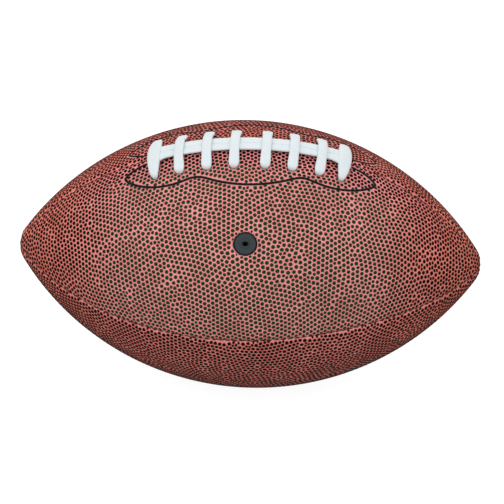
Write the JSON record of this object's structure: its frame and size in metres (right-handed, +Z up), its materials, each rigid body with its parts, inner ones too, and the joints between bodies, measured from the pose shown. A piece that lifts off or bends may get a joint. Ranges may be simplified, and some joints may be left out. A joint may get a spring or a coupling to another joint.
{
  "type": "american football",
  "caption": "American football with a pebbled, lined panel cover, a white lace along the top seam, and an inflatable bladder with a removable needle-valve plug.",
  "frame": {"origin": "lowest point of the belly, under the middle of the ball as it lies with its laces up", "axes": "+X along the ball from tip to tip, +Z up through the lace seam, -Y to the side with the valve"},
  "size_m": [0.29, 0.168, 0.1727],
  "materials": {
    "composite_leather": "pebbled composite leather, red-brown with dark pebble tops",
    "backing_cloth": "woven cotton backing",
    "seam_cord": "waxed seam cord, dark red",
    "facing_cloth": "stiff reinforcing cloth",
    "black_thread": "black sewing thread",
    "white_lace": "white vinyl lace with a soft shine",
    "tongue_rubber": "soft black rubber pad",
    "bladder_rubber": "black butyl rubber",
    "valve_rubber": "dark grey moulded rubber"
  },
  "bodies": {
    "ball": {"panel_front_top": "composite_leather", "panel_front_bottom": "composite_leather", "panel_back_bottom": "composite_leather", "panel_back_top": "composite_leather", "lining_front_top": "backing_cloth", "lining_front_bottom": "backing_cloth", "lining_back_bottom": "backing_cloth", "lining_back_top": "backing_cloth", "seam_thread_top_left": "seam_cord", "seam_thread_top_right": "seam_cord", "seam_thread_front": "seam_cord", "seam_thread_bottom": "seam_cord", "seam_thread_back": "seam_cord", "lace_facing_front": "facing_cloth", "lace_facing_back": "facing_cloth", "facing_stitch_front": "black_thread", "facing_stitch_back": "black_thread", "lace": "white_lace", "lace_tongue": "tongue_rubber", "bladder": "bladder_rubber", "valve_sleeve": "bladder_rubber"},
    "plug": {"valve_plug": "valve_rubber"}
  },
  "joints": [
    {"name": "valve_plug_slide", "type": "slide", "parent": "ball", "child": "plug", "axis": [0, -0.7193, 0.6947], "range_m": [0, 0.016]}
  ]
}
